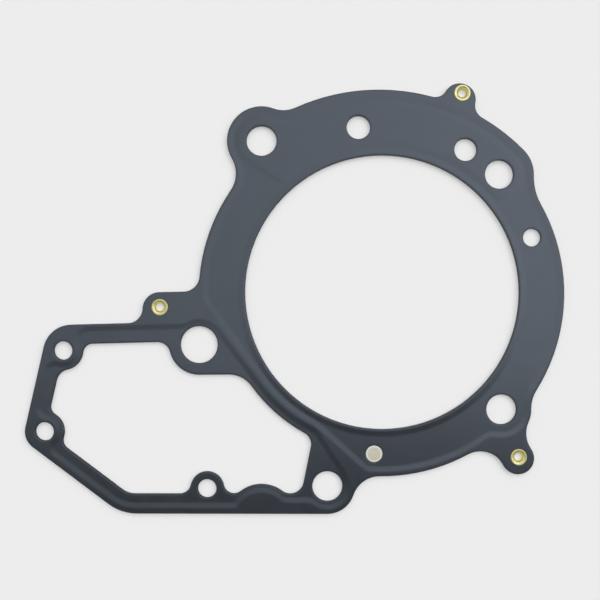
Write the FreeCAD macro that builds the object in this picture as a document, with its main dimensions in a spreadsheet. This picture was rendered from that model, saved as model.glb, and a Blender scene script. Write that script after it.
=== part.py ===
import FreeCAD, Part
import math
import os
import Sketcher

# Cylinder head gasket of a single-cylinder engine, made of pressed steel sheets.
# Two embossed outer sheets lie back to back on a flat middle sheet, and three
# eyelets hold the pack together.
# Millimetres, +Z up. The origin is on the axis of the cylinder bore, and z = 0
# is the plane where the gasket meets the cylinder.
# Level map of an outer sheet: the rim is high, and the sheet drops by one bead
# height onto the middle sheet inside each bead loop.

V = FreeCAD.Vector
CLOSE = 1e-4

SIZES = [
    # Sheets and beads
    ("sheet_thickness", 0.25),
    ("middle_thickness", 0.5),
    ("bead_height", 0.25),
    ("flank_width", 2.0),
    # Holes: diameters
    ("cylinder_bore_diameter", 102.5),
    ("stud_hole_diameter", 11.2),
    ("short_stud_hole_diameter", 10.7),
    ("sleeve_hole_diameter", 13.8),
    ("bolt_hole_diameter", 6.9),
    ("main_passage_diameter", 8.8),
    ("return_passage_diameter", 8.4),
    ("vent_passage_diameter", 6.6),
    ("sight_hole_diameter", 6.2),
    # Places: how far each centre lies outside the bore's edge, or inside the ring's rim,
    # and how many degrees it is ahead of what its bearing is measured from
    ("stud_left_reach", 21.08),
    ("stud_left_lead", 128.57),
    ("stud_right_inset", 6.24),
    ("stud_right_lead", 45.2),
    ("stud_front_reach", 11.19),
    ("stud_front_lead", 5.88),
    ("stud_tunnel_reach", 24.09),
    ("stud_tunnel_lead", 25.95),
    ("sleeve_reach", 19.9),
    ("sleeve_lead", 15.99),
    ("bolt_upper_reach", 69.93),
    ("bolt_upper_lead", 10.36),
    ("bolt_outer_reach", 85.15),
    ("bolt_outer_lead", 22.41),
    ("bolt_lower_reach", 46.98),
    ("bolt_lower_lead", 12.94),
    ("main_passage_inset", 6.01),
    ("main_passage_lead", 98.22),
    ("return_passage_inset", 6.63),
    ("return_passage_lead", 59.69),
    ("vent_passage_inset", 8.74),
    ("vent_passage_lead", 20.05),
    ("sight_hole_inset", 7.78),
    ("sight_hole_lead", 12.95),
    ("eyelet_left_reach", 32.04),
    ("eyelet_left_lead", 3.86),
    ("eyelet_top_reach", 28.93),
    ("eyelet_top_lead", 68.11),
    ("eyelet_corner_reach", 28.66),
    ("eyelet_corner_lead", 55.36),
    ("tunnel_corner_lower_reach", 61.01),
    ("tunnel_corner_lower_lead", 12.91),
    # Eyelets
    ("eyelet_bore_diameter", 3.0),
    ("eyelet_barrel_diameter", 4.0),
    ("eyelet_flange_diameter", 6.1),
    ("eyelet_flange_thickness", 0.35),
    ("eyelet_mouth_bevel", 0.5),
    ("eyelet_rim_bevel", 0.15),
    ("eyelet_clearance", 0.1),
    # Outer outline
    ("ring_width", 17.0),
    ("ring_shift", 0.58),
    ("ring_shift_bearing", 239.0),
    ("crown_step", 7.8),
    ("crown_shift", 1.26),
    ("crown_shift_bearing", 198.4),
    ("stud_left_wall", 7.3),
    ("stud_front_wall", 5.55),
    ("stud_tunnel_wall", 4.7),
    ("bolt_wall", 3.9),
    ("eyelet_left_wall", 4.25),
    ("eyelet_left_lug_shift", 0.7),
    ("eyelet_left_lug_shift_bearing", 265.9),
    ("eyelet_top_wall", 3.9),
    ("eyelet_top_lug_shift", 2.6),
    ("eyelet_top_lug_shift_bearing", 247.4),
    ("eyelet_corner_wall", 3.9),
    ("eyelet_corner_lug_shift", 0.45),
    ("eyelet_corner_lug_shift_bearing", 243.4),
    ("crown_fillet_left", 10.55),
    ("ring_fillet_left", 11.2),
    ("shelf_fillet_inner", 6.0),
    ("shelf_fillet_outer", 5.65),
    ("shelf_slope", 1.19),
    ("upper_bar_slope", 1.45),
    ("tunnel_corner_upper", 10.65),
    ("tunnel_corner_upper_dip", 17.1),
    ("tunnel_corner_lower", 17.75),
    ("tunnel_stud_fillet", 10.25),
    ("corner_eyelet_fillet_left", 9.75),
    ("corner_eyelet_fillet_right", 10.5),
    ("stud_front_fillet", 12.5),
    ("stud_right_fillet", 20.85),
    ("eyelet_top_fillet_right", 5.2),
    ("eyelet_top_fillet_left", 4.6),
    # Timing-chain window
    ("bar_width", 7.35),
    ("neck_width", 8.9),
    ("sleeve_pad_wall", 4.35),
    ("bolt_lower_pad_wall", 2.85),
    ("stud_tunnel_pad_wall", 3.4),
    ("hump_from_stud", 24.6),
    ("hump_radius", 12.9),
    ("hump_rise", 3.55),
    ("window_fillet_sleeve", 4.8),
    ("window_fillet_bolt_upper", 3.7),
    ("window_fillet_bar_upper", 5.15),
    ("window_fillet_bar_lower", 3.4),
    ("window_fillet_bolt_outer", 3.65),
    ("window_fillet_corner", 7.85),
    ("window_fillet_bolt_lower", 4.2),
    ("window_fillet_hump_left", 3.9),
    ("window_fillet_hump_right", 5.0),
    ("window_corner_stud", 4.8),
    ("window_corner_stud_lag", 13.1),
    ("window_corner_sleeve", 10.35),
    ("window_corner_sleeve_lead", 19.7),
    # Half bead round the cylinder bore
    ("bore_rim_width", 1.7),
    # Half bead along the rim of the ring
    ("rim_bead_inset_ring", 2.15),
    ("rim_bead_inset_crown", 3.15),
    ("rim_bead_inset_stud_left", 1.4),
    ("rim_bead_inset_stud_front", 1.75),
    ("ridge_bore_groove", 1.75),
    ("rim_bead_corner_left", 9.0),
    ("rim_bead_corner_left_lag", 16.5),
    ("rim_bead_waist", 22.4),
    ("rim_bead_waist_lag", 13.7),
    ("rim_bead_corner_bottom", 4.5),
    ("rim_bead_corner_bottom_lead", 12.2),
    ("rim_bead_fillet_crown", 13.4),
    ("rim_bead_fillet_left", 10.8),
    ("rim_bead_fillet_front", 6.0),
    ("rim_bead_fillet_side", 12.0),
    ("rim_bead_fillet_right", 24.0),
    # Raised land round the two rear studs and the passages between them
    ("land_groove", 2.4),
    ("land_bore_groove", 2.25),
    ("land_corner", 2.6),
    ("land_corner_lead", 1.83),
    ("land_corner_lag", 4.24),
    # Half bead round the timing-chain window
    ("tunnel_bead_margin_sleeve", 1.8),
    ("tunnel_bead_margin_stud", 2.1),
    ("tunnel_bead_margin_bolt", 1.85),
    ("tunnel_bead_inset_neck", 2.55),
    ("tunnel_bead_inset_hump", 2.0),
    ("tunnel_bead_inset_upper", 1.7),
    ("tunnel_bead_inset_outer", 3.1),
    ("tunnel_bead_inset_slant", 2.9),
    ("tunnel_bead_inset_lower", 3.1),
    ("tunnel_bead_inset_sill", 5.2),
    ("tunnel_bead_fillet_sleeve", 5.6),
    ("tunnel_bead_dip_bearing", 119.7),
    ("tunnel_bead_corner_upper", 5.0),
    ("tunnel_bead_fillet_bolt", 3.2),
    ("tunnel_bead_fillet_slant", 14.0),
    ("tunnel_bead_fillet_hump", 2.0),
    ("tunnel_bead_fillet_sill", 4.5),
    ("tunnel_bead_corner_stud", 5.6),
    ("tunnel_bead_corner_stud_lag", 11.2),
]

doc = FreeCAD.newDocument("head_gasket")
sheet = doc.addObject("Spreadsheet::Sheet", "sizes")
for row, (alias, value) in enumerate(SIZES, start=1):
    sheet.set(f"A{row}", alias)
    sheet.set(f"B{row}", str(value))
    sheet.setAlias(f"B{row}", alias)
doc.recompute()


def size(alias):
    """The value of a named cell of the sheet."""
    return float(sheet.get(alias))


class Length:
    """A length made from cells of the sheet: its expression, and its present value."""

    def __init__(self, text, value):
        self.text = text
        self.value = value

    def __add__(self, other):
        return Length(f"({self.text} + {other.text})", self.value + other.value)

    def __sub__(self, other):
        return Length(f"({self.text} - {other.text})", self.value - other.value)

    def __mul__(self, factor):
        return Length(f"({self.text} * {factor})", self.value * factor)

    def turned(self, bearing):
        """The two parts of this length along X and Y, at a bearing in degrees."""
        angle = math.radians(bearing.value)
        return (Length(f"{self.text} * cos({bearing.text})", self.value * math.cos(angle)),
                Length(f"{self.text} * sin({bearing.text})", self.value * math.sin(angle)))


def cell(alias):
    return Length(f"sizes.{alias}", size(alias))


def bind(item, prop, length):
    """Make a property of a document object follow the sheet."""
    item.setExpression(prop, length.text)


# Heights in the pack, from the lower sealing face up
GROUND = Length("0", 0.0)
MIDDLE_UNDERSIDE = cell("sheet_thickness") + cell("bead_height")
LOW_LEVEL = MIDDLE_UNDERSIDE + cell("middle_thickness") + cell("sheet_thickness")
HIGH_LEVEL = LOW_LEVEL + cell("bead_height")
MID_PLANE = HIGH_LEVEL * 0.5
EYELET_HOLE = cell("eyelet_barrel_diameter") + cell("eyelet_clearance") * 2

# Rings about the axis, from the bore out: its edge, its half bead, the window's side
# of the neck, the rim of the ring and the rim of the crown
BORE_EDGE = cell("cylinder_bore_diameter") * 0.5
BORE_BEAD = BORE_EDGE + cell("bore_rim_width")
NECK_SIDE = BORE_EDGE + cell("neck_width")
RIM = BORE_EDGE + cell("ring_width")
CROWN_RIM = RIM + cell("crown_step")


# Loops. A loop is a chain of rings, which are circles with a direction, joined
# by their common tangents. It runs anticlockwise, with what it encloses on its
# left. A ring with a positive radius turns left, and one with a negative
# radius turns right. Growing every radius by one amount moves the whole loop
# outwards by that amount, and keeps it smooth.
class Ring:
    def __init__(self, centre, radius):
        self.centre = centre
        self.radius = radius

    def grown(self, amount):
        return Ring(self.centre, self.radius + amount)


class Edge:
    """A straight stretch of a loop: a point on it and the direction on its left."""

    def __init__(self, point, left):
        self.point = point
        self.left = left

    def inset(self, amount):
        return Edge(self.point + self.left * amount, self.left)


def polar(centre, distance, bearing):
    angle = math.radians(bearing)
    return centre + V(math.cos(angle), math.sin(angle), 0) * distance


def quarter_turn(vector):
    return V(-vector.y, vector.x, 0)


def tangent(first, second):
    """The straight edge that leaves one ring and meets the next."""
    span = second.centre - first.centre
    lean = (second.radius - first.radius) / span.Length
    along = V(span).normalize()
    left = along * lean + quarter_turn(along) * math.sqrt(max(1 - lean ** 2, 0.0))
    return Edge(first.centre - left * first.radius, left)


def leftward_edge(ring, slope):
    """The straight edge along the top of a ring that runs towards -X and falls at a slope in degrees."""
    along = polar(V(0, 0, 0), 1, 180 + slope)
    left = quarter_turn(along)
    return Edge(ring.centre - left * ring.radius, left)


def centres_between(first, second, radius):
    """The two places where a ring of this radius touches both neighbours."""
    if isinstance(first, Edge) and isinstance(second, Edge):
        a, b = first.left, second.left
        reach_a = first.point.dot(a) + radius
        reach_b = second.point.dot(b) + radius
        cross = a.x * b.y - a.y * b.x
        return [V((reach_a * b.y - reach_b * a.y) / cross, (reach_b * a.x - reach_a * b.x) / cross, 0)]
    if isinstance(first, Edge) or isinstance(second, Edge):
        edge, ring = (first, second) if isinstance(first, Edge) else (second, first)
        height = (edge.point - ring.centre).dot(edge.left) + radius
        half = math.sqrt((ring.radius - radius) ** 2 - height ** 2)
        foot = ring.centre + edge.left * height
        return [foot + quarter_turn(edge.left) * half, foot - quarter_turn(edge.left) * half]
    span = second.centre - first.centre
    far_first, far_second = abs(first.radius - radius), abs(second.radius - radius)
    along = V(span).normalize()
    foot = (span.Length ** 2 + far_first ** 2 - far_second ** 2) / (2 * span.Length)
    half = math.sqrt(far_first ** 2 - foot ** 2)
    base = first.centre + along * foot
    return [base + quarter_turn(along) * half, base - quarter_turn(along) * half]


def left_at_touch(neighbour, ring):
    """The direction on the left where a ring touches its neighbour."""
    if isinstance(neighbour, Edge):
        return neighbour.left
    return (ring.centre - neighbour.centre) * (1 / (ring.radius - neighbour.radius))


def turn(start, end, sense):
    """The angle from one direction to another, turning left (sense 1) or right (-1)."""
    angle = sense * (math.atan2(end.y, end.x) - math.atan2(start.y, start.x)) % (2 * math.pi)
    return 0.0 if angle > 2 * math.pi - CLOSE else angle


def between(first, second, radius):
    """The ring that rounds the corner from one ring or edge to the next."""
    rings = [Ring(centre, radius) for centre in centres_between(first, second, radius)]
    sense = math.copysign(1, radius)
    return min(rings, key=lambda r: turn(left_at_touch(first, r), left_at_touch(second, r), sense))


def inside(outer, centre):
    """The ring about a centre that touches a larger ring from inside."""
    return Ring(centre, outer.radius - (centre - outer.centre).Length)


def loop_curves(rings):
    """The lines and arcs of a loop, in order."""
    count = len(rings)
    edges = [tangent(rings[i], rings[(i + 1) % count]) for i in range(count)]
    ends = [edges[i].point for i in range(count)]
    starts = []
    for i in range(count):
        meet = rings[(i + 1) % count].centre - edges[i].left * rings[(i + 1) % count].radius
        starts.append(ends[i] if (meet - ends[i]).Length < CLOSE else meet)
    curves = []
    for i in range(count):
        ring = rings[i]
        start, end = starts[i - 1], ends[i]
        sense = math.copysign(1, ring.radius)
        sweep = turn(edges[i - 1].left, edges[i].left, sense)
        first = math.degrees(math.atan2(edges[i - 1].left.y, edges[i - 1].left.x))
        middle = polar(ring.centre, -ring.radius, first + sense * math.degrees(sweep) / 2)
        if (end - start).Length > CLOSE:
            curves.append(Part.Arc(start, middle, end))
        if (starts[i] - end).Length > CLOSE:
            curves.append(Part.LineSegment(end, starts[i]))
    return curves


# Holes through every sheet: a place by name, and the diameter it is punched to
HOLES = {
    "stud_left": cell("stud_hole_diameter"),
    "stud_right": cell("short_stud_hole_diameter"),
    "stud_front": cell("stud_hole_diameter"),
    "stud_tunnel": cell("stud_hole_diameter"),
    "sleeve": cell("sleeve_hole_diameter"),
    "bolt_upper": cell("bolt_hole_diameter"),
    "bolt_outer": cell("bolt_hole_diameter"),
    "bolt_lower": cell("bolt_hole_diameter"),
    "main_passage": cell("main_passage_diameter"),
    "return_passage": cell("return_passage_diameter"),
    "vent_passage": cell("vent_passage_diameter"),
    "eyelet_left": EYELET_HOLE,
    "eyelet_top": EYELET_HOLE,
    "eyelet_corner": EYELET_HOLE,
}
EYELETS = ("eyelet_left", "eyelet_top", "eyelet_corner")
AXIS = V(0, 0, 0)

# Places measured inwards from the rim, the others being measured outwards from the bore's edge
INSIDE_RIM = ("stud_right", "main_passage", "return_passage", "vent_passage", "sight_hole")
# Bearings: the places whose lead is counted from -X, and those that follow another place.
# The rest are counted from +X.
FROM_MINUS_X = ("eyelet_left", "bolt_upper", "sleeve", "bolt_outer")
FOLLOWS = {
    "tunnel_corner_lower": "bolt_outer",
    "bolt_lower": "tunnel_corner_lower",
    "stud_tunnel": "bolt_lower",
    "sight_hole": "stud_tunnel",
    "eyelet_corner": "stud_tunnel",
    "stud_front": "eyelet_corner",
}
HALF_TURN = Length("180", 180.0)


def bearing_of(name):
    """The bearing of a named place about the axis, in degrees anticlockwise from +X."""
    lead = cell(f"{name}_lead")
    if name in FOLLOWS:
        return bearing_of(FOLLOWS[name]) + lead
    return HALF_TURN + lead if name in FROM_MINUS_X else lead


def spot(name):
    """The X and Y of a named place."""
    if name in INSIDE_RIM:
        return (RIM - cell(f"{name}_inset")).turned(bearing_of(name))
    return (BORE_EDGE + cell(f"{name}_reach")).turned(bearing_of(name))


def place(name):
    across, up = spot(name)
    return V(across.value, up.value, 0)


def beside(name, lead):
    """A bearing that leads a named place by some degrees, anticlockwise."""
    return bearing_of(name).value + lead


def shifted(centre, name):
    """A centre moved a little off another, by a named shift."""
    return polar(centre, size(f"{name}_shift"), size(f"{name}_shift_bearing"))


def around(name, margin, sense=1):
    """The ring round a hole, at a named margin outside the hole's edge."""
    return Ring(place(name), sense * (HOLES[name].value / 2 + size(margin)))


# Loops of the gasket
def outline_rings():
    """The outer edge of every sheet, from the crown round to the right-hand stud."""
    ring, crown = Ring(shifted(AXIS, "ring"), RIM.value), Ring(shifted(AXIS, "crown"), CROWN_RIM.value)
    stud_left = around("stud_left", "stud_left_wall")
    stud_front = around("stud_front", "stud_front_wall")
    stud_tunnel = around("stud_tunnel", "stud_tunnel_wall")
    stud_right = inside(crown, place("stud_right"))
    left, top, corner = [eyelet_lug(name) for name in EYELETS]
    shelf = leftward_edge(left, size("shelf_slope"))
    return [
        crown,
        between(crown, top, -size("eyelet_top_fillet_right")),
        top,
        between(top, crown, -size("eyelet_top_fillet_left")),
        crown,
        between(crown, stud_left, -size("crown_fillet_left")),
        stud_left,
        between(stud_left, ring, -size("ring_fillet_left")),
        ring,
        between(ring, shelf, -size("shelf_fillet_inner")),
        left,
        between(left, tunnel_edges()[0], -size("shelf_fillet_outer")),
        tunnel_corner_upper(),
        around("bolt_outer", "bolt_wall"),
        tunnel_corner_lower(),
        stud_tunnel,
        between(stud_tunnel, ring, -size("tunnel_stud_fillet")),
        ring,
        between(ring, corner, -size("corner_eyelet_fillet_left")),
        corner,
        between(corner, stud_front, -size("corner_eyelet_fillet_right")),
        stud_front,
        between(stud_front, ring, -size("stud_front_fillet")),
        ring,
        between(ring, stud_right, -size("stud_right_fillet")),
        stud_right,
    ]


def eyelet_lug(name):
    """The rounded lug that carries an eyelet, a little off the eyelet's own centre."""
    lug = around(name, f"{name}_wall")
    return Ring(shifted(lug.centre, f"{name}_lug"), lug.radius)


def tunnel_corner_upper():
    """The rounded corner that wraps the upper bolt's lug."""
    lug = around("bolt_upper", "bolt_wall")
    radius = size("tunnel_corner_upper")
    return Ring(polar(lug.centre, radius - lug.radius, -size("tunnel_corner_upper_dip")), radius)


def tunnel_corner_lower():
    return Ring(place("tunnel_corner_lower"), size("tunnel_corner_lower"))


def tunnel_edges():
    """The four straight outer edges of the timing-chain side: upper, outer, slanted and lower."""
    chain = [
        tunnel_corner_upper(),
        around("bolt_outer", "bolt_wall"),
        tunnel_corner_lower(),
        around("stud_tunnel", "stud_tunnel_wall"),
    ]
    edges = [tangent(chain[i], chain[i + 1]) for i in range(len(chain) - 1)]
    return [leftward_edge(chain[0], size("upper_bar_slope")), *edges]


def hump_centre(lower):
    """The centre of the hump that rises from the lower bar into the window."""
    sill = lower.inset(size("bar_width")).point.y
    across = place("stud_tunnel").x - size("hump_from_stud")
    return V(across, sill + size("hump_rise") - size("hump_radius"), 0)


def window_rings():
    """The timing-chain window: bars of one width, and a pad round each hole beside it."""
    upper, outer, slant, lower = [edge.inset(size("bar_width")) for edge in tunnel_edges()]
    sleeve = around("sleeve", "sleeve_pad_wall", -1)
    bolt_upper = around("bolt_upper", "bolt_wall", -1)
    bolt_outer = around("bolt_outer", "bolt_wall", -1)
    bolt_lower = around("bolt_lower", "bolt_lower_pad_wall", -1)
    stud = around("stud_tunnel", "stud_tunnel_pad_wall", -1)
    neck = Ring(AXIS, -NECK_SIDE.value)
    hump = Ring(hump_centre(tunnel_edges()[3]), -size("hump_radius"))
    stud_corner, sleeve_corner = size("window_corner_stud"), size("window_corner_sleeve")
    stud_bearing = beside("stud_tunnel", -size("window_corner_stud_lag"))
    stud_place = polar(AXIS, NECK_SIDE.value + stud_corner, stud_bearing)
    sleeve_bearing = beside("sleeve", size("window_corner_sleeve_lead"))
    sleeve_place = polar(AXIS, NECK_SIDE.value + sleeve_corner, sleeve_bearing)
    return [
        sleeve,
        between(sleeve, upper, size("window_fillet_sleeve")),
        between(upper, bolt_upper, size("window_fillet_bolt_upper")),
        bolt_upper,
        between(bolt_upper, outer, size("window_fillet_bar_upper")),
        between(outer, bolt_outer, size("window_fillet_bar_lower")),
        bolt_outer,
        between(bolt_outer, slant, size("window_fillet_bolt_outer")),
        between(slant, lower, size("window_fillet_corner")),
        between(lower, bolt_lower, size("window_fillet_bolt_lower")),
        bolt_lower,
        between(bolt_lower, hump, size("window_fillet_hump_left")),
        hump,
        between(hump, stud, size("window_fillet_hump_right")),
        Ring(stud_place, stud_corner),
        neck,
        Ring(sleeve_place, sleeve_corner),
    ]


def rim_bead_rings():
    """The half bead inside the rim of the ring, and along the ridge beside the tunnel."""
    ring = Ring(AXIS, RIM.value - size("rim_bead_inset_ring"))
    crown = Ring(AXIS, CROWN_RIM.value - size("rim_bead_inset_crown"))
    stud_left = around("stud_left", "stud_left_wall").grown(-size("rim_bead_inset_stud_left"))
    stud_front = around("stud_front", "stud_front_wall").grown(-size("rim_bead_inset_stud_front"))
    ridge = Ring(AXIS, BORE_BEAD.value + size("ridge_bore_groove"))
    stud_right = inside(crown, place("stud_right"))
    left, bottom = size("rim_bead_corner_left"), size("rim_bead_corner_bottom")
    waist = size("rim_bead_waist")
    left_place = polar(AXIS, ring.radius - left, beside("sleeve", -size("rim_bead_corner_left_lag")))
    waist_place = polar(AXIS, ridge.radius + waist, beside("stud_tunnel", -size("rim_bead_waist_lag")))
    bottom_bearing = beside("stud_tunnel", size("rim_bead_corner_bottom_lead"))
    bottom_place = polar(AXIS, ring.radius - bottom, bottom_bearing)
    return [
        crown,
        between(crown, stud_left, -size("rim_bead_fillet_crown")),
        stud_left,
        between(stud_left, ring, -size("rim_bead_fillet_left")),
        ring,
        Ring(left_place, left),
        ridge,
        Ring(waist_place, -waist),
        Ring(bottom_place, bottom),
        ring,
        between(ring, stud_front, -size("rim_bead_fillet_front")),
        stud_front,
        between(stud_front, ring, -size("rim_bead_fillet_side")),
        ring,
        between(ring, stud_right, -size("rim_bead_fillet_right")),
        stud_right,
    ]


def land_rings():
    """The raised land that carries the two rear studs and the passages between them.

    Its outer side keeps one distance from the half bead along the rim.
    """
    rim = rim_bead_rings()
    crown, fillet, stud_left, stud_right = [
        ring.grown(-size("land_groove")) for ring in (rim[0], rim[1], rim[2], rim[-1])]
    inner_radius = BORE_BEAD.value + size("land_bore_groove")
    inner = Ring(AXIS, -inner_radius)
    corner = size("land_corner")
    left_place = polar(AXIS, inner_radius + corner, beside("stud_left", size("land_corner_lead")))
    right_place = polar(AXIS, inner_radius + corner, beside("stud_right", -size("land_corner_lag")))
    return [
        stud_right,
        crown,
        fillet,
        stud_left,
        Ring(left_place, corner),
        inner,
        Ring(right_place, corner),
    ]


def tunnel_bead_rings():
    """The half bead round the timing-chain window, the sleeve and the tunnel stud."""
    upper, outer, slant, lower = tunnel_edges()
    sill = lower.inset(size("tunnel_bead_inset_sill"))
    upper = upper.inset(size("tunnel_bead_inset_upper"))
    outer = outer.inset(size("tunnel_bead_inset_outer"))
    slant = slant.inset(size("tunnel_bead_inset_slant"))
    hump = Ring(hump_centre(lower), size("tunnel_bead_inset_hump") - size("hump_radius"))
    lower = lower.inset(size("tunnel_bead_inset_lower"))
    sleeve = around("sleeve", "tunnel_bead_margin_sleeve")
    stud = around("stud_tunnel", "tunnel_bead_margin_stud")
    bolt_upper = around("bolt_upper", "tunnel_bead_margin_bolt", -1)
    bolt_outer = around("bolt_outer", "tunnel_bead_margin_bolt", -1)
    neck_radius = NECK_SIDE.value - size("tunnel_bead_inset_neck")
    corner = size("tunnel_bead_corner_stud")
    corner_bearing = beside("stud_tunnel", -size("tunnel_bead_corner_stud_lag"))
    corner_place = polar(AXIS, neck_radius + corner, corner_bearing)
    dip = size("tunnel_bead_fillet_sleeve")
    dip_place = polar(sleeve.centre, sleeve.radius + dip, size("tunnel_bead_dip_bearing"))
    bolt_fillet, hump_fillet = size("tunnel_bead_fillet_bolt"), size("tunnel_bead_fillet_hump")
    return [
        sleeve,
        Ring(dip_place, -dip),
        between(upper, bolt_upper, size("tunnel_bead_corner_upper")),
        bolt_upper,
        between(bolt_upper, outer, bolt_fillet),
        between(outer, bolt_outer, bolt_fillet),
        bolt_outer,
        between(bolt_outer, slant, bolt_fillet),
        between(slant, lower, size("tunnel_bead_fillet_slant")),
        between(lower, hump, hump_fillet),
        hump,
        between(hump, sill, hump_fillet),
        between(sill, stud, -size("tunnel_bead_fillet_sill")),
        stud,
        Ring(corner_place, corner),
        Ring(AXIS, -neck_radius),
    ]


# Document objects


def fuse(name, parts):
    joined = doc.addObject("Part::MultiFuse", name)
    joined.Shapes = parts
    return joined


def cut(name, base, tool):
    left_over = doc.addObject("Part::Cut", name)
    left_over.Base = base
    left_over.Tool = tool
    return left_over


def drawn(sketch, rings):
    """Draw a loop into a sketch and lock it there."""
    first = sketch.GeometryCount
    curves = loop_curves(rings)
    sketch.addGeometry(curves, False)
    for index in range(first, first + len(curves)):
        sketch.addConstraint(Sketcher.Constraint("Block", index))


def level_sketch(name, loops, level):
    """A free sketch of some loops, at a height bound to the sheet."""
    sketch = doc.addObject("Sketcher::SketchObject", name)
    for rings in loops:
        drawn(sketch, rings)
    bind(sketch, "Placement.Base.z", level)
    return sketch


def ramp(name, rings, sense):
    """The solid inside a bead loop from the low level to the high one, with sloping flanks.

    Sense 1 widens upwards, for a zone that is pressed down, and -1 narrows upwards,
    for a land that stays high.
    """
    half = sense * size("flank_width") / 2
    low = level_sketch(f"{name}_low", [[ring.grown(-half) for ring in rings]], LOW_LEVEL)
    high = level_sketch(f"{name}_high", [[ring.grown(half) for ring in rings]], HIGH_LEVEL)
    loft = doc.addObject("Part::Loft", name)
    loft.Sections = [low, high]
    loft.Solid = True
    loft.Ruled = True
    return loft


def bore_rim():
    """The high rim round the cylinder bore, a cone on the low level."""
    cone = doc.addObject("Part::Cone", "bore_rim")
    bind(cone, "Radius1", BORE_BEAD + cell("flank_width") * 0.5)
    bind(cone, "Radius2", BORE_BEAD - cell("flank_width") * 0.5)
    bind(cone, "Height", cell("bead_height"))
    bind(cone, "Placement.Base.z", LOW_LEVEL)
    return cone


def punch(name, diameter, centre=None):
    """A round punch through the whole pack."""
    pin = doc.addObject("Part::Cylinder", f"{name}_punch")
    bind(pin, "Radius", diameter * 0.5)
    bind(pin, "Height", HIGH_LEVEL * 2)
    bind(pin, "Placement.Base.z", GROUND - MID_PLANE)
    if centre:
        bind(pin, "Placement.Base.x", centre[0])
        bind(pin, "Placement.Base.y", centre[1])
    return pin


def punches():
    """Every hole that goes through all the sheets."""
    pins = [punch("cylinder", cell("cylinder_bore_diameter"))]
    pins += [punch(name, diameter, spot(name)) for name, diameter in HOLES.items()]
    return fuse("punches", pins)


def pressed_sheet():
    """One embossed sheet at the top of the pack: a slab pressed down, less itself one sheet lower."""
    blank = doc.addObject("Part::Extrusion", "blank")
    blank.Base = level_sketch("blank_outline", [outline_rings(), window_rings()], MID_PLANE)
    blank.DirMode = "Custom"
    blank.Dir = V(0, 0, 1)
    blank.Solid = True
    bind(blank, "LengthFwd", MID_PLANE)
    raised = fuse("raised_inside", [bore_rim(), ramp("land", land_rings(), -1)])
    sunk = cut("ring_zone", ramp("rim_bead", rim_bead_rings(), 1), raised)
    zones = fuse("pressed_zones", [sunk, ramp("tunnel_zone", tunnel_bead_rings(), 1)])
    form = cut("pressed_form", blank, zones)
    under = doc.addObject("Part::Compound", "form_one_sheet_lower")
    under.Links = [form]
    bind(under, "Placement.Base.z", GROUND - cell("sheet_thickness"))
    return cut("pressed_sheet", cut("embossed", form, under), punches())


def upper_layer(sheet_shape):
    """The upper sheet, with a round hole that shows the bare middle sheet."""
    sight_hole = punch("sight_hole", cell("sight_hole_diameter"), spot("sight_hole"))
    layer = cut("upper_layer", sheet_shape, sight_hole)
    layer.Label = "upper_layer"
    return layer


def lower_layer(sheet_shape):
    """The lower sheet, the upper one mirrored in the mid-plane of the pack."""
    layer = doc.addObject("Part::Mirroring", "lower_layer")
    layer.Source = sheet_shape
    layer.Normal = V(0, 0, 1)
    bind(layer, "Base.z", MID_PLANE)
    layer.Label = "lower_layer"
    return layer


def plane_of(body, role):
    return next(item for item in body.Origin.OriginFeatures if item.Role == role)


def body_sketch(body, name, role):
    sketch = body.newObject("Sketcher::SketchObject", name)
    sketch.AttachmentSupport = (plane_of(body, role), [""])
    sketch.MapMode = "FlatFace"
    return sketch


def bound_circle(sketch, diameter, centre=None):
    """A circle in a sketch whose diameter and centre follow the sheet."""
    middle = V(centre[0].value, centre[1].value, 0) if centre else AXIS
    index = sketch.addGeometry(Part.Circle(middle, V(0, 0, 1), diameter.value / 2), False)
    across = sketch.addConstraint(Sketcher.Constraint("Diameter", index, diameter.value))
    bind(sketch, f"Constraints[{across}]", diameter)
    if not centre:
        sketch.addConstraint(Sketcher.Constraint("Coincident", index, 3, -1, 1))
        return
    for kind, length in zip(("DistanceX", "DistanceY"), centre):
        gap = sketch.addConstraint(Sketcher.Constraint(kind, -1, 1, index, 3, length.value))
        bind(sketch, f"Constraints[{gap}]", length)


def middle_layer():
    """The flat middle sheet: the outline, the window and the same holes, padded once."""
    body = doc.addObject("PartDesign::Body", "middle_layer")
    body.Label = "middle_layer"
    sketch = body_sketch(body, "middle_outline", "XY_Plane")
    drawn(sketch, outline_rings())
    drawn(sketch, window_rings())
    bound_circle(sketch, cell("cylinder_bore_diameter"))
    for name, diameter in HOLES.items():
        bound_circle(sketch, diameter, spot(name))
    bind(sketch, "AttachmentOffset.Base.z", MIDDLE_UNDERSIDE)
    pad = body.newObject("PartDesign::Pad", "middle_pad")
    pad.Profile = sketch
    bind(pad, "Length", cell("middle_thickness"))
    return body


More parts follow.
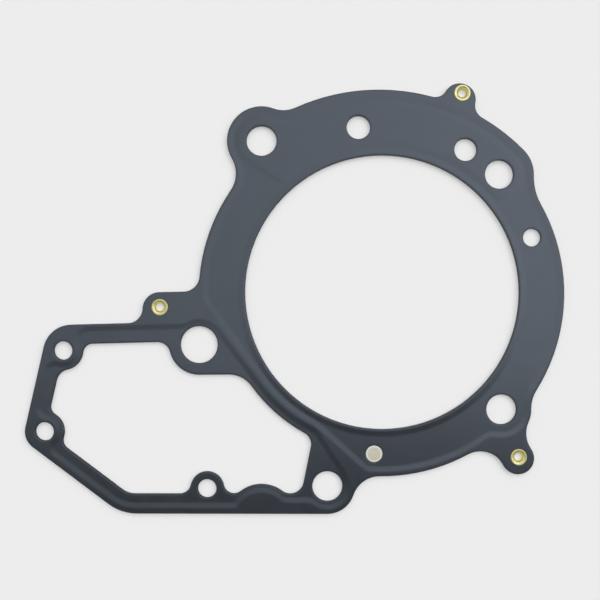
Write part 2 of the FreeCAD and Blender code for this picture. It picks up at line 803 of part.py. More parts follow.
def eyelet(name):
    """A hollow rivet: a barrel through the pack with a flange turned over on each side."""
    body = doc.addObject("PartDesign::Body", name)
    body.Label = name
    sketch = body_sketch(body, f"{name}_section", "XZ_Plane")
    bore, barrel = cell("eyelet_bore_diameter") * 0.5, cell("eyelet_barrel_diameter") * 0.5
    flange, lip = cell("eyelet_flange_diameter") * 0.5, cell("eyelet_flange_thickness")
    mouth, rim = cell("eyelet_mouth_bevel"), cell("eyelet_rim_bevel")
    top, bottom = HIGH_LEVEL + lip, GROUND - lip
    corners = [
        (bore, bottom + mouth),
        (bore + mouth, bottom),
        (flange - rim, bottom),
        (flange, bottom + rim),
        (flange, GROUND),
        (barrel, GROUND),
        (barrel, HIGH_LEVEL),
        (flange, HIGH_LEVEL),
        (flange, top - rim),
        (flange - rim, top),
        (bore + mouth, top),
        (bore, top - mouth),
    ]
    points = [V(across.value, height.value, 0) for across, height in corners]
    for index, point in enumerate(points):
        sketch.addGeometry(Part.LineSegment(point, points[(index + 1) % len(points)]), False)
    for index, corner in enumerate(corners):
        last = (index - 1) % len(corners)
        sketch.addConstraint(Sketcher.Constraint("Coincident", last, 2, index, 1))
        for kind, length in zip(("DistanceX", "DistanceY"), corner):
            gap = sketch.addConstraint(Sketcher.Constraint(kind, -1, 1, index, 1, length.value))
            bind(sketch, f"Constraints[{gap}]", length)
    turned = body.newObject("PartDesign::Revolution", f"{name}_turned")
    turned.Profile = sketch
    turned.ReferenceAxis = (sketch, ["V_Axis"])
    turned.Angle = 360
    across, up = spot(name)
    bind(body, "Placement.Base.x", across)
    bind(body, "Placement.Base.y", up)
    return body


sheet_shape = pressed_sheet()
parts = [upper_layer(sheet_shape), middle_layer(), lower_layer(sheet_shape)]
parts += [eyelet(name) for name in EYELETS]
doc.recompute()

for item in doc.Objects:
    if "Invalid" in item.State or "Error" in item.State:
        raise RuntimeError(f"{item.Name} failed: {item.State}")
for part in parts:
    if part.Shape.isNull() or not part.Shape.isValid():
        raise RuntimeError(f"{part.Label} has no valid shape")

os.makedirs("parts", exist_ok=True)
for part in parts:
    part.Shape.exportStep(os.path.join("parts", f"{part.Label}.step"))
    print(part.Label, round(part.Shape.Volume, 2), len(part.Shape.Solids), len(part.Shape.Faces))
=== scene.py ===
"""Looks of a pressed-steel cylinder head gasket: coated sheets, bare core and brass eyelets.

Lengths are in metres and angles in degrees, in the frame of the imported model: +Z up, the cylinder
axis at x = y = 0, and z = 0 on the lower sealing face.
"""

import logging
import math
from dataclasses import dataclass, field
from enum import Enum

import bmesh
import bpy
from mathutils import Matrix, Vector


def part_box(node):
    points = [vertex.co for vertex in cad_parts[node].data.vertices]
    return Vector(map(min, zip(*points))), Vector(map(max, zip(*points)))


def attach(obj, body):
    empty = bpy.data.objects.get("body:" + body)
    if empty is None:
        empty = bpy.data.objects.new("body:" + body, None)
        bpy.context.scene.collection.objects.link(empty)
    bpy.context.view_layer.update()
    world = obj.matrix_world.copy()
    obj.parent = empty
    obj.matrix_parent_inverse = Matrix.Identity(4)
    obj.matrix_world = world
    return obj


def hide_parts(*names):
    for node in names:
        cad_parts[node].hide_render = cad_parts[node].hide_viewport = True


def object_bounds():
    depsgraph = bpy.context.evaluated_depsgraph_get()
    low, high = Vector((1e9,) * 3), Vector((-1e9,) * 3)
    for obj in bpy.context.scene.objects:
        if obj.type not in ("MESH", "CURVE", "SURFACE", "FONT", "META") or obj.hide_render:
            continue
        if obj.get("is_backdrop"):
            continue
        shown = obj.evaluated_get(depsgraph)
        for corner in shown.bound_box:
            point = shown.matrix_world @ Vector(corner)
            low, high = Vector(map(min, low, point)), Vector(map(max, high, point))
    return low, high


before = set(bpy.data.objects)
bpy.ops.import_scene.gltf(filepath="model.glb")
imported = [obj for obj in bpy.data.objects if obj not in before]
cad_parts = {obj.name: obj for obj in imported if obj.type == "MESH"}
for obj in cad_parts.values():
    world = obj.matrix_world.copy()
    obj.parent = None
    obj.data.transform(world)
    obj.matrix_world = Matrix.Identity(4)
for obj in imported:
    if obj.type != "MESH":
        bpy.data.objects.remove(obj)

LOG = logging.getLogger("head_gasket")
MM = 0.001
ROOT_BODY = "root"

Colour = tuple[float, float, float]
Pair = tuple[float, float]
Socket = bpy.types.NodeSocket
Number = float | Socket
Paint = tuple[float, float, float, float] | Socket

WHITE: Colour = (1.0, 1.0, 1.0)

# Times this, a vector keeps its level part alone
LEVEL_PART = (1.0, 1.0, 0.0)

# Sockets of a Mix node that mixes colours
MIX_FACTOR = 0
MIX_FIRST = 6
MIX_SECOND = 7
MIX_RESULT = 2


class Slot(Enum):
    """The record's material slots."""

    COATED_SHEET = "coated_sheet"
    BARE_STEEL = "bare_steel"
    EYELET_BRASS = "eyelet_brass"


class Sheet(Enum):
    """The three sheets of the pack, by node name."""

    UPPER = "upper_layer"
    MIDDLE = "middle_layer"
    LOWER = "lower_layer"


class Rivet(Enum):
    """The three eyelets, by node name."""

    LEFT = "eyelet_left"
    TOP = "eyelet_top"
    CORNER = "eyelet_corner"


class Ray(Enum):
    """Kinds of ray, by the Light Path node's sockets."""

    CAMERA = "Is Camera Ray"
    GLOSSY = "Is Glossy Ray"
    TRANSMISSION = "Is Transmission Ray"


@dataclass(frozen=True)
class Noise:
    """What a noise texture is made of.

    Attributes:
        octaves: How many finer copies it adds up.
        roughness: Weight of the finer copies.
        span: The values that a tone spreads over 0 to 1.
    """

    octaves: float
    roughness: float
    span: Pair = (0.3, 0.7)


class Graph:
    """Adds nodes to one node tree and joins their sockets."""

    def __init__(self, tree: bpy.types.NodeTree) -> None:
        """Take over a node tree and empty it.

        Args:
            tree: The tree of a material, a world or a node group.
        """
        self.tree = tree
        self.tree.nodes.clear()

    def join(self, source: Socket, target: Socket) -> None:
        """Link an output socket to an input socket."""
        self.tree.links.new(source, target)

    def feed(self, target: Socket, value: object) -> None:
        """Give an input socket either a link or a plain value.

        Args:
            target: The input socket.
            value: Another node's output socket, or the value to set.
        """
        if isinstance(value, Socket):
            self.join(value, target)
        else:
            target.default_value = value

    def add(self, kind: str, inputs: dict[str | int, object] | None = None,
            **settings: object) -> bpy.types.Node:
        """Add a node.

        Args:
            kind: The node's type name.
            inputs: Links and plain values for its input sockets, by name or place.
            **settings: Properties to set on it.

        Returns:
            The new node.
        """
        node = self.tree.nodes.new(kind)
        for name, value in settings.items():
            setattr(node, name, value)
        for label, value in (inputs or {}).items():
            self.feed(node.inputs[label], value)
        return node

    def maths(self, operation: str, *values: Number) -> Socket:
        """Add a Math node.

        Args:
            operation: What it works out.
            *values: Its operands.

        Returns:
            The result.
        """
        node = self.add("ShaderNodeMath", dict(enumerate(values)), operation=operation)
        return node.outputs[0]

    def vector_maths(self, operation: str, *values: Socket | Colour) -> bpy.types.Node:
        """Add a Vector Math node.

        Args:
            operation: What it works out.
            *values: Its operands.

        Returns:
            The node, whose result is under Vector or Value.
        """
        return self.add("ShaderNodeVectorMath", dict(enumerate(values)), operation=operation)

    def remap(self, value: Number, low: float, high: float, start: Number, end: Number) -> Socket:
        """Map a value from one range to another, clamped and with soft ends.

        Args:
            value: The value to map.
            low: The value that gives start.
            high: The value that gives end.
            start: Result at low.
            end: Result at high.

        Returns:
            The mapped value.
        """
        given = {"Value": value, "From Min": low, "From Max": high, "To Min": start, "To Max": end}
        node = self.add("ShaderNodeMapRange", given, interpolation_type="SMOOTHSTEP")
        return node.outputs["Result"]

    def between(self, factor: Socket, first: Number, second: Number) -> Socket:
        """A number that goes from the first at factor 0 to the second at factor 1."""
        return self.remap(factor, 0.0, 1.0, first, second)

    def blend(self, factor: Number, first: Paint, second: Paint) -> Socket:
        """Mix two colours.

        Args:
            factor: 0 for the first colour, 1 for the second.
            first: The first colour.
            second: The second colour.

        Returns:
            The mixed colour.
        """
        given = {MIX_FACTOR: factor, MIX_FIRST: first, MIX_SECOND: second}
        return self.add("ShaderNodeMix", given, data_type="RGBA").outputs[MIX_RESULT]

    def noise(self, place: Socket, size: Number, make: Noise) -> Socket:
        """Add a noise texture with features of about one size.

        Args:
            place: Coordinates to read it at.
            size: Size of its features.
            make: What it is made of.

        Returns:
            The noise value, most of it within the make's span.
        """
        given = {"Vector": place, "Scale": self.maths("DIVIDE", 1.0, size),
                 "Detail": make.octaves, "Roughness": make.roughness}
        return self.add("ShaderNodeTexNoise", given).outputs[0]

    def tone(self, value: Socket, make: Noise) -> Socket:
        """Spread a noise value over 0 to 1."""
        return self.remap(value, *make.span, 0.0, 1.0)

    def object_place(self) -> Socket:
        """Coordinates that ride with the piece."""
        return self.add("ShaderNodeTexCoord").outputs["Object"]

    def is_ray(self, *kinds: Ray) -> Socket:
        """Tell whether a ray is of one of some kinds.

        Args:
            *kinds: The kinds to look for.

        Returns:
            1 for such a ray, else 0.
        """
        path = self.add("ShaderNodeLightPath")
        found, *others = [path.outputs[kind.value] for kind in kinds]
        for other in others:
            found = self.maths("MAXIMUM", found, other)
        return found

    def mix_shaders(self, factor: Socket, first: bpy.types.Node, second: bpy.types.Node) -> Socket:
        """Mix two shaders.

        Args:
            factor: 0 for the first shader, 1 for the second.
            first: The first shader's node.
            second: The second shader's node.

        Returns:
            The mixed shader.
        """
        given = {0: factor, 1: first.outputs[0], 2: second.outputs[0]}
        return self.add("ShaderNodeMixShader", given).outputs[0]

    def surface(self, shader: Socket) -> None:
        """Send a shader to the material's output."""
        self.add("ShaderNodeOutputMaterial", {"Surface": shader})


def new_material(name: str) -> tuple[bpy.types.Material, Graph]:
    """Make a node material.

    Args:
        name: The material's name.

    Returns:
        The material and its empty graph.
    """
    material = bpy.data.materials.new(name)
    material.use_nodes = True
    return material, Graph(material.node_tree)


def opaque(colour: Colour) -> tuple[float, float, float, float]:
    """A colour with full alpha, for a socket."""
    return (*colour, 1.0)


@dataclass
class Effects:
    """The surface effects that several finishes share, each one node group.

    Attributes:
        fine_grain: Noise of the fine grain.
        coarse_grain: Noise of the coarse grain under it.
        coarse_size: Size of the coarse grain over that of the fine one.
        coarse_height: Height of the coarse grain over that of the fine one.
        wide_cloud: Noise of the clouds.
        narrow_veil: Noise of the veils, which are narrower.
        veil_finer: Size of the clouds over that of the veils.
        grain: The group with the grain's height and tone.
        clouds: The group with clouds and veils.
        steep: The group with a mask of steep faces.
    """

    fine_grain: Noise = Noise(octaves=3.0, roughness=0.55)
    coarse_grain: Noise = Noise(octaves=2.0, roughness=0.5)
    coarse_size: float = 4.0
    coarse_height: float = 0.35
    wide_cloud: Noise = Noise(octaves=4.0, roughness=0.5, span=(0.32, 0.68))
    narrow_veil: Noise = Noise(octaves=3.0, roughness=0.6)
    veil_finer: float = 6.0
    grain: bpy.types.NodeTree = field(init=False)
    clouds: bpy.types.NodeTree = field(init=False)
    steep: bpy.types.NodeTree = field(init=False)

    def __post_init__(self) -> None:
        """Build every group once."""
        self.grain = self._build_grain()
        self.clouds = self._build_clouds()
        self.steep = self._build_steep()

    @staticmethod
    def _group(name: str, given: str, *results: str) -> tuple[Graph, Socket, bpy.types.Node]:
        """Make a node group with one input and some outputs, all plain numbers.

        Args:
            name: The group's name.
            given: Name of its input.
            *results: Names of its outputs.

        Returns:
            The group's graph, the socket that gives the input, and the node that takes the results.
        """
        tree = bpy.data.node_groups.new(name, "ShaderNodeTree")
        tree.interface.new_socket(given, in_out="INPUT", socket_type="NodeSocketFloat")
        for label in results:
            tree.interface.new_socket(label, in_out="OUTPUT", socket_type="NodeSocketFloat")
        graph = Graph(tree)
        return graph, graph.add("NodeGroupInput").outputs[given], graph.add("NodeGroupOutput")

    def _build_grain(self) -> bpy.types.NodeTree:
        """Make fine even grain: a height for bump, and a tone around one half.

        Returns:
            The group.
        """
        graph, size, result = self._group("fine_grain", "Grain Size", "Height", "Tone")
        place = graph.object_place()
        fine = graph.noise(place, size, self.fine_grain)
        coarse = graph.noise(place, graph.maths("MULTIPLY", size, self.coarse_size), self.coarse_grain)
        graph.join(graph.maths("MULTIPLY_ADD", coarse, self.coarse_height, fine), result.inputs["Height"])
        graph.join(graph.tone(fine, self.fine_grain), result.inputs["Tone"])
        return graph.tree

    def _build_clouds(self) -> bpy.types.NodeTree:
        """Make slow, soft variation over the surface, as uneven coating and handling leave.

        Returns:
            The group.
        """
        graph, size, result = self._group("soft_clouds", "Cloud Size", "Cloud", "Veil")
        place = graph.object_place()
        wide = graph.noise(place, size, self.wide_cloud)
        narrow = graph.noise(place, graph.maths("DIVIDE", size, self.veil_finer), self.narrow_veil)
        graph.join(graph.tone(wide, self.wide_cloud), result.inputs["Cloud"])
        graph.join(graph.tone(narrow, self.narrow_veil), result.inputs["Veil"])
        return graph.tree

    def _build_steep(self) -> bpy.types.NodeTree:
        """Make a mask that is 1 where the upright part of the face's normal is under a limit.

        Returns:
            The group.
        """
        graph, limit, result = self._group("steep_face", "Upright Limit", "Mask")
        normal = graph.add("ShaderNodeNewGeometry").outputs["True Normal"]
        upright = graph.add("ShaderNodeSeparateXYZ", {0: normal}).outputs["Z"]
        steep = graph.maths("LESS_THAN", graph.maths("ABSOLUTE", upright), limit)
        graph.join(steep, result.inputs["Mask"])
        return graph.tree

    @staticmethod
    def use(graph: Graph, group: bpy.types.NodeTree, value: float) -> bpy.types.Node:
        """Place a group in a material, with a value for its input."""
        return graph.add("ShaderNodeGroup", {0: value}, node_tree=group)


@dataclass(frozen=True)
class CoatedSheet:
    """Satin rubber coating on an embossed sheet, with painted shade on the punched edges.

    Attributes:
        dark: Darker tone of the coating.
        light: Lighter tone of the coating.
        edge: Painted shade on the punched edges, a near-black that stands for their walls lying in shade.
        sheen: Specular level.
        sheen_tint: Colour of the highlights.
        rough_low: Least roughness.
        rough_high: Most roughness.
        edge_rough: Roughness of the punched edges.
        edge_limit: Upright part of the normal under which a face is a punched edge.
        grain_size: Size of the grain.
        grain_depth: Depth of the grain.
        cloud_size: Size of the clouds.
        bead_round: Radius to which the coating rounds the edges of the beads.
        bead_relief: Slope of the coating, as a share of that of the bead under it.
        bevel_samples: Rays that look for edges to round.
    """

    dark: Colour = (0.017, 0.0195, 0.024)
    light: Colour = (0.0195, 0.022, 0.027)
    # painted shade: near-black for punched walls that are only in shade
    edge: Colour = (0.012, 0.013, 0.015)
    sheen: float = 0.60
    sheen_tint: Colour = (0.72, 0.84, 1.0)
    rough_low: float = 0.22
    rough_high: float = 0.25
    edge_rough: float = 0.9
    edge_limit: float = 0.35
    grain_size: float = 0.22 * MM
    grain_depth: float = 0.003 * MM
    cloud_size: float = 28 * MM
    bead_round: float = 1.1 * MM
    bead_relief: float = 0.44
    bevel_samples: int = 6

    def material(self, effects: Effects) -> bpy.types.Material:
        """Build the coating's material.

        Args:
            effects: The shared node groups.

        Returns:
            The material.
        """
        material, graph = new_material(Slot.COATED_SHEET.value)
        grain = effects.use(graph, effects.grain, self.grain_size)
        clouds = effects.use(graph, effects.clouds, self.cloud_size)
        # mask of the punched edges, which get painted shade and more roughness
        shaded_edges = effects.use(graph, effects.steep, self.edge_limit).outputs["Mask"]
        mottled = graph.blend(clouds.outputs["Cloud"], opaque(self.dark), opaque(self.light))
        satin = graph.between(clouds.outputs["Veil"], self.rough_low, self.rough_high)
        bump = graph.add("ShaderNodeBump", {
            "Distance": self.grain_depth,
            "Height": grain.outputs["Height"],
            "Normal": self._eased_normal(graph),
        })
        shader = graph.add("ShaderNodeBsdfPrincipled", {
            # painted shade: the punched edges are blended to near-black
            "Base Color": graph.blend(shaded_edges, mottled, opaque(self.edge)),
            "Roughness": graph.between(shaded_edges, satin, self.edge_rough),
            "Specular IOR Level": self.sheen,
            "Specular Tint": opaque(self.sheen_tint),
            "Normal": bump.outputs[0],
        })
        graph.surface(shader.outputs[0])
        return material

    def _eased_normal(self, graph: Graph) -> Socket:
        """Round the beads and level out their slopes, as the coating does. Upright walls stay.

        Args:
            graph: The material's graph.

        Returns:
            The eased normal.
        """
        rounded = graph.add("ShaderNodeBevel", {"Radius": self.bead_round}, samples=self.bevel_samples)
        relief = (self.bead_relief, self.bead_relief, 1.0)
        eased = graph.vector_maths("MULTIPLY", rounded.outputs[0], relief)
        return graph.vector_maths("NORMALIZE", eased.outputs["Vector"]).outputs["Vector"]


@dataclass(frozen=True)
class BareSteel:
    """Cold-rolled spring steel with faint rolling lines, seen through the round sight hole.

    It is lighter in a ring along the edge of that hole.

    Attributes:
        colour: Plain tone of the steel.
        worn: Lighter tone of the steel.
        ring_colour: Lighter colour of the ring along the edge of the sight hole.
        edge: Painted shade on the punched edges, a near-black that stands for their walls lying in shade.
        rough_low: Roughness between the rolling lines.
        rough_high: Roughness on the rolling lines.
        edge_rough: Roughness of the punched edges.
        edge_limit: Upright part of the normal under which a face is a punched edge.
        grain_size: Size of the grain.
        grain_depth: Depth of the grain.
        cloud_size: Size of the clouds.
        line_noise: Noise of the rolling lines.
        line_gap: Distance between the rolling lines.
        line_stretch: Length of the rolling lines over their width.
        line_share: Share of the rolling lines in the tone, beside that of the clouds.
        sight_hole: Centre of the sight hole.
        ring_from: Distances from that centre between which the ring begins.
    """

    colour: Colour = (0.43, 0.40, 0.31)
    worn: Colour = (0.51, 0.485, 0.40)
    # a lighter tone in a ring along the edge of the sight hole
    ring_colour: Colour = (0.60, 0.605, 0.56)
    # painted shade: near-black for punched walls that are only in shade
    edge: Colour = (0.045, 0.045, 0.045)
    rough_low: float = 0.34
    rough_high: float = 0.46
    edge_rough: float = 0.7
    edge_limit: float = 0.35
    grain_size: float = 0.15 * MM
    grain_depth: float = 0.004 * MM
    cloud_size: float = 9 * MM
    line_noise: Noise = Noise(octaves=2.0, roughness=0.5, span=(0.35, 0.65))
    line_gap: float = 0.35 * MM
    line_stretch: float = 40.0
    line_share: float = 0.5
    sight_hole: Pair = (-3.0 * MM, -60.4 * MM)
    ring_from: Pair = (2.15 * MM, 2.75 * MM)

    def material(self, effects: Effects) -> bpy.types.Material:
        """Build the bare metal's material.

        Args:
            effects: The shared node groups.

        Returns:
            The material.
        """
        material, graph = new_material(Slot.BARE_STEEL.value)
        grain = effects.use(graph, effects.grain, self.grain_size)
        clouds = effects.use(graph, effects.clouds, self.cloud_size)
        # mask of the punched edges, which get painted shade and more roughness
        shaded_edges = effects.use(graph, effects.steep, self.edge_limit).outputs["Mask"]
        place = graph.object_place()
        lines = self._rolling_lines(graph, place)
        clouded = graph.maths("MULTIPLY", clouds.outputs["Cloud"], 1.0 - self.line_share)
        tone = graph.maths("MULTIPLY_ADD", lines, self.line_share, clouded)
        plain = graph.blend(tone, opaque(self.colour), opaque(self.worn))
        ringed = graph.blend(self._edge_ring(graph, place), plain, opaque(self.ring_colour))
        rolled = graph.between(lines, self.rough_low, self.rough_high)
        bump = graph.add("ShaderNodeBump", {
            "Distance": self.grain_depth,
            "Height": grain.outputs["Height"],
        })
        shader = graph.add("ShaderNodeBsdfPrincipled", {
            # painted shade: the punched edges are blended to near-black
            "Base Color": graph.blend(shaded_edges, ringed, opaque(self.edge)),
            "Roughness": graph.between(shaded_edges, rolled, self.edge_rough),
            "Metallic": 1.0,
            "Normal": bump.outputs[0],
        })
        graph.surface(shader.outputs[0])
        return material

    def _rolling_lines(self, graph: Graph, place: Socket) -> Socket:
        """Make faint lines along X.

        Args:
            graph: The material's graph.
            place: Object coordinates.

        Returns:
            A tone from 0 between the lines to 1 on them.
        """
        stretch = (1.0 / self.line_stretch, 1.0, 1.0)
        drawn = graph.add("ShaderNodeMapping", {"Vector": place, "Scale": stretch})
        return graph.tone(graph.noise(drawn.outputs[0], self.line_gap, self.line_noise), self.line_noise)

    def _edge_ring(self, graph: Graph, place: Socket) -> Socket:
        """Mask the lighter ring along the edge of the sight hole.

        Args:
            graph: The material's graph.
            place: Object coordinates.

        Returns:
            0 in the middle of the hole, 1 on the ring and outwards of it.
        """
        level = graph.vector_maths("MULTIPLY", place, LEVEL_PART)
        away = graph.vector_maths("DISTANCE", level.outputs["Vector"], (*self.sight_hole, 0.0))
        return graph.remap(away.outputs["Value"], *self.ring_from, 0.0, 1.0)


@dataclass(frozen=True)
class EyeletBrass:
    """Rolled brass, dulled on the crest of the lip and cleaner down the mouth and over the rim.

    Attributes:
        lip: Colour of the crest of the lip.
        lip_stain: Colour of the stains on it.
        mouth: Colour of the mouth and of the rim.
        rough_low: Least roughness of the crest.
        rough_high: Most roughness of the crest.
        mouth_rough: Roughness of the mouth and of the rim.
        mouth_limit: Upright part of the normal under which a face is steep enough for them.
        grain_size: Size of the grain.
        grain_depth: Depth of the grain.
        cloud_size: Size of the clouds.
    """

    lip: Colour = (0.46, 0.435, 0.235)
    lip_stain: Colour = (0.40, 0.37, 0.175)
    mouth: Colour = (0.63, 0.58, 0.17)
    rough_low: float = 0.36
    rough_high: float = 0.46
    mouth_rough: float = 0.36
    mouth_limit: float = 0.80
    grain_size: float = 0.12 * MM
    grain_depth: float = 0.004 * MM
    cloud_size: float = 2.5 * MM

    def material(self, effects: Effects) -> bpy.types.Material:
        """Build the brass material.

        Args:
            effects: The shared node groups.

        Returns:
            The material.
        """
        material, graph = new_material(Slot.EYELET_BRASS.value)
        grain = effects.use(graph, effects.grain, self.grain_size)
        clouds = effects.use(graph, effects.clouds, self.cloud_size)
        mouth = effects.use(graph, effects.steep, self.mouth_limit).outputs["Mask"]
        stained = graph.blend(clouds.outputs["Veil"], opaque(self.lip), opaque(self.lip_stain))
        dulled = graph.between(clouds.outputs["Cloud"], self.rough_low, self.rough_high)
        bump = graph.add("ShaderNodeBump", {
            "Distance": self.grain_depth,
            "Height": grain.outputs["Height"],
        })
        shader = graph.add("ShaderNodeBsdfPrincipled", {
            "Base Color": graph.blend(mouth, stained, opaque(self.mouth)),
            "Roughness": graph.between(mouth, dulled, self.mouth_rough),
            "Metallic": 1.0,
            "Normal": bump.outputs[0],
        })
        graph.surface(shader.outputs[0])
        return material


@dataclass(frozen=True)
class FloorPaper:
    """Matt pale paper. Part of its brightness is its own, so that shadows on it stay light.

    Attributes:
        colour: Colour of the paper.
        speck: Brightness of its specks over that of the paper.
        grain_size: Size of the specks.
        own_light: Share of its brightness that is its own, for rays that show the background.
    """

    colour: Colour = (0.84, 0.84, 0.84)
    speck: float = 0.99
    grain_size: float = 0.6 * MM
    own_light: float = 0.40

    def material(self, effects: Effects) -> bpy.types.Material:
        """Build the floor's material.

        Args:
            effects: The shared node groups.

        Returns:
            The material.
        """
        material, graph = new_material("floor_paper")
        grain = effects.use(graph, effects.grain, self.grain_size)
        dim = tuple(self.speck * channel for channel in self.colour)
        lit = graph.add("ShaderNodeBsdfPrincipled", {
            "Base Color": graph.blend(grain.outputs["Tone"], opaque(dim), opaque(self.colour)),
            "Roughness": 1.0,
            "Specular IOR Level": 0.0,
        })
        glow = graph.add("ShaderNodeEmission", {"Color": opaque(self.colour)})
        shown = graph.is_ray(Ray.CAMERA, Ray.GLOSSY, Ray.TRANSMISSION)
        share = graph.maths("MULTIPLY", shown, self.own_light)
        graph.surface(graph.mix_shaders(share, lit, glow))
        return material


@dataclass
class SheetPack:
    """The three pressed sheets, which keep their own meshes.

    Attributes:
        coated: The embossed sheets.
        bare: The flat sheet between them.
    """

    coated: tuple[Sheet, ...] = (Sheet.UPPER, Sheet.LOWER)
    bare: tuple[Sheet, ...] = (Sheet.MIDDLE,)

    def dress(self, coating: bpy.types.Material, steel: bpy.types.Material) -> None:
        """Put a finish on each sheet.

        Args:
            coating: Material of the embossed sheets.
            steel: Material of the flat sheet.
        """
        for sheets, material in ((self.coated, coating), (self.bare, steel)):
            for sheet in sheets:
                self._fill_slots(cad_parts[sheet.value], material)
                LOG.info("dressed %s in %s", sheet.value, material.name)

    @staticmethod
    def _fill_slots(node: bpy.types.Object, material: bpy.types.Material) -> None:
        """Put one material on the whole of a node.

        Args:
            node: The node's object.
            material: The material.
        """
        if not node.material_slots:
            node.data.materials.append(material)
        for slot in node.material_slots:
            slot.material = material


@dataclass
class Eyelet:
    """A hollow rivet whose ends are rolled over the pack, with dished mouths.

    Attributes:
        rivet: Which of the eyelets it is.
        bore: Diameter of the bore.
        barrel: Outer diameter of the barrel, inside the pack.
        lip_thickness: Thickness of the turned-over lips.
        mouth_depth: Depth of a mouth, from the crest of the lip to the bore.
        mouth_curve: Power that dishes the mouth: 1 is a cone, and more is flatter at the crest.
        rim_roll: Radius of the rolled rim.
        mouth_steps: Steps along the mouth.
        roll_steps: Steps along the rolled rim.
        around: Steps round the axis.
        crease: Angle between faces above which the edge stays sharp.
    """

    rivet: Rivet
    bore: float = 3.0 * MM
    barrel: float = 4.0 * MM
    lip_thickness: float = 0.35 * MM
    mouth_depth: float = 0.85 * MM
    mouth_curve: float = 2.6
    rim_roll: float = 0.25 * MM
    mouth_steps: int = 16
    roll_steps: int = 8
    around: int = 96
    crease: float = 50.0

    def _half_section(self, flange: float, high: float) -> list[Pair]:
        """Work out the section's upper half, from the bore at mid height out to the barrel.

        Args:
            flange: Radius of the turned-over lip.
            high: Height of the lip's top above mid height.

        Returns:
            Points as radius and height.
        """
        bore = self.bore / 2
        barrel = self.barrel / 2
        seat = high - self.lip_thickness
        crest = flange - self.rim_roll
        points = [(bore, 0.0)]
        for step in range(self.mouth_steps + 1):
            inward = 1 - step / self.mouth_steps
            points.append((crest - (crest - bore) * inward,
                           high - self.mouth_depth * inward ** self.mouth_curve))
        for step in range(1, self.roll_steps + 1):
            angle = math.pi / 2 * step / self.roll_steps
            points.append((crest + self.rim_roll * math.sin(angle),
                           high - self.rim_roll * (1 - math.cos(angle))))
        points += [(flange, seat), (barrel, seat), (barrel, 0.0)]
        return points

    def _turned(self, name: str, section: list[Pair], centre: Vector) -> bpy.types.Mesh:
        """Turn a section about an upright axis.

        Args:
            name: Name of the mesh.
            section: Points of a closed section, as radius and height.
            centre: Where the axis crosses height zero of the section.

        Returns:
            The mesh.
        """
        work = bmesh.new()
        rings = []
        for index in range(self.around):
            angle = 2 * math.pi * index / self.around
            across = Vector((math.cos(angle), math.sin(angle), 0.0))
            rings.append([work.verts.new(centre + across * radius + Vector((0, 0, height)))
                          for radius, height in section])
        for index, ring in enumerate(rings):
            following = rings[(index + 1) % self.around]
            for point in range(len(section)):
                after = (point + 1) % len(section)
                work.faces.new((ring[point], following[point], following[after], ring[after]))
        bmesh.ops.recalc_face_normals(work, faces=work.faces)
        for face in work.faces:
            face.smooth = True
        for edge in work.edges:
            edge.smooth = edge.calc_face_angle(0.0) <= math.radians(self.crease)
        mesh = bpy.data.meshes.new(name)
        work.to_mesh(mesh)
        work.free()
        return mesh

    def build(self, brass: bpy.types.Material) -> bpy.types.Object:
        """Make the eyelet in the place of its node.

        Args:
            brass: The eyelet's material.

        Returns:
            The new object, riding on the part.
        """
        node = self.rivet.value
        low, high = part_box(node)
        upper = self._half_section((high.x - low.x) / 2, (high.z - low.z) / 2)
        lower = [(radius, -height) for radius, height in reversed(upper[1:-1])]
        mesh = self._turned(f"{node}_rolled", upper + lower, (low + high) / 2)
        mesh.materials.append(brass)
        piece = bpy.data.objects.new(mesh.name, mesh)
        bpy.context.scene.collection.objects.link(piece)
        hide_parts(node)
        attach(piece, ROOT_BODY)
        LOG.info("rolled %s, %d faces", piece.name, len(mesh.polygons))
        return piece


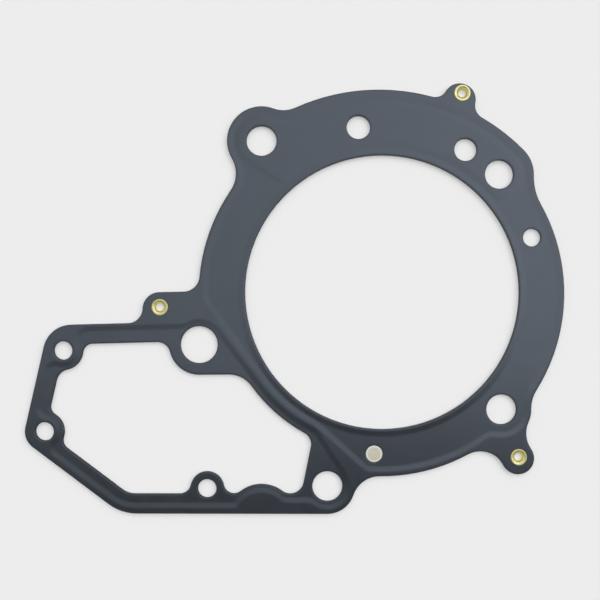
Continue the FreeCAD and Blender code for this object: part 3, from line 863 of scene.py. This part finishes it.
@dataclass
class Studio:
    """The floor, the lights and the camera.

    A direction in the sky is known by its level part, which is 0 straight up and 1 at the horizon.

    Attributes:
        picture_width: Width of the picture at the gasket's upper face.
        picture_centre: The point under the camera.
        camera_height: Height of the camera above the upper face.
        sensor: Width of the camera's sensor, in millimetres.
        floor_width: Width of the floor.
        panel_bearing: Where the panel spreads to, from +X towards +Y.
        panel_edge: The panel's near edge, as level parts along its bearing from none to full.
        panel_reach: The panel's far end, as level parts from full to none.
        panel_level: Strength of the panel.
        panel_tilt: How much stronger it is towards +X and weaker towards -X, as a share.
        panel_spread: Level part at which that difference is full.
        fill_level: Strength of the fill all round.
        backdrop_from: Level parts between which gloss begins to see the backdrop.
    """

    picture_width: float = 224.0 * MM
    picture_centre: Pair = (-30.72 * MM, -2.91 * MM)
    camera_height: float = 330.0 * MM
    sensor: float = 36.0
    floor_width: float = 6.0
    panel_bearing: float = 89.0
    panel_edge: Pair = (-0.150, -0.115)
    panel_reach: Pair = (0.66, 1.00)
    panel_level: float = 2.12
    panel_tilt: float = 0.65
    panel_spread: float = 0.98
    fill_level: float = 0.13
    backdrop_from: Pair = (0.62, 0.92)

    def floor(self, paper: bpy.types.Material, height: float) -> bpy.types.Object:
        """Lay the floor.

        Args:
            paper: The floor's material.
            height: Height of the lowest point of the part.

        Returns:
            The floor.
        """
        mesh = bpy.data.meshes.new("floor")
        work = bmesh.new()
        bmesh.ops.create_grid(work, x_segments=1, y_segments=1, size=self.floor_width / 2)
        work.to_mesh(mesh)
        work.free()
        mesh.materials.append(paper)
        ground = bpy.data.objects.new("floor", mesh)
        ground.location = (*self.picture_centre, height)
        bpy.context.scene.collection.objects.link(ground)
        ground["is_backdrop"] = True
        LOG.info("laid the floor at %.5f", height)
        return ground

    def sky(self, backdrop: Colour) -> None:
        """Light the scene with one wide soft panel overhead and a weak fill all round.

        Gloss and glass also see the pale backdrop towards the horizon, and the camera sees nothing
        else past the floor.

        Args:
            backdrop: The neutral grey of the backdrop.
        """
        world = bpy.data.worlds.new("studio")
        world.use_nodes = True
        bpy.context.scene.world = world
        graph = Graph(world.node_tree)
        direction = graph.add("ShaderNodeTexCoord").outputs["Generated"]
        level = graph.vector_maths("MULTIPLY", direction, LEVEL_PART).outputs["Vector"]
        lean = graph.vector_maths("LENGTH", level).outputs["Value"]
        lit = graph.maths("ADD", self._panel(graph, level, lean), self.fill_level)
        horizon = graph.remap(lean, *self.backdrop_from, 0.0, max(backdrop))
        mirrored = graph.maths("MULTIPLY", horizon, graph.is_ray(Ray.GLOSSY, Ray.TRANSMISSION))
        strength = graph.maths("ADD", lit, mirrored)
        soft = graph.add("ShaderNodeBackground", {"Color": opaque(WHITE), "Strength": strength})
        plain = graph.add("ShaderNodeBackground", {"Color": opaque(backdrop)})
        seen = graph.mix_shaders(graph.is_ray(Ray.CAMERA), soft, plain)
        graph.add("ShaderNodeOutputWorld", {"Surface": seen})
        LOG.info("lit by %s", world.name)

    def _panel(self, graph: Graph, level: Socket, lean: Socket) -> Socket:
        """Shape the panel, which starts just behind straight up and spreads to its bearing.

        Args:
            graph: The world's graph.
            level: The level part of the direction.
            lean: Length of that level part.

        Returns:
            The panel's strength in that direction.
        """
        bearing = math.radians(self.panel_bearing)
        towards = (math.cos(bearing), math.sin(bearing), 0.0)
        along = graph.vector_maths("DOT_PRODUCT", level, towards).outputs["Value"]
        across = graph.add("ShaderNodeSeparateXYZ", {0: level}).outputs["X"]
        weakest = self.panel_level * (1.0 - self.panel_tilt)
        strongest = self.panel_level * (1.0 + self.panel_tilt)
        tilted = graph.remap(across, -self.panel_spread, self.panel_spread, weakest, strongest)
        inside = graph.remap(lean, *self.panel_reach, tilted, 0.0)
        return graph.remap(along, *self.panel_edge, 0.0, inside)

    def camera(self, face: float) -> bpy.types.Object:
        """Set the camera straight above the picture's centre.

        Args:
            face: Height of the gasket's upper face.

        Returns:
            The camera.
        """
        lens = bpy.data.cameras.new("camera")
        lens.sensor_width = self.sensor
        lens.lens = self.sensor * self.camera_height / self.picture_width
        eye = bpy.data.objects.new("camera", lens)
        eye.location = (*self.picture_centre, face + self.camera_height)
        bpy.context.scene.collection.objects.link(eye)
        bpy.context.scene.camera = eye
        LOG.info("camera with a lens of %.1f mm", lens.lens)
        return eye


def main() -> None:
    """Dress the gasket, light it and place the camera."""
    logging.basicConfig(level=logging.INFO, format="%(name)s: %(message)s")
    cad_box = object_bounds()
    effects = Effects()
    paper = FloorPaper()
    SheetPack().dress(CoatedSheet().material(effects), BareSteel().material(effects))
    brass = EyeletBrass().material(effects)
    for rivet in Rivet:
        Eyelet(rivet).build(brass)
    studio = Studio()
    studio.floor(paper.material(effects), cad_box[0].z)
    studio.sky(paper.colour)
    studio.camera(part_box(Sheet.UPPER.value)[1].z)
    bpy.context.scene.view_settings.view_transform = "Standard"


if __name__ == "__main__":
    main()
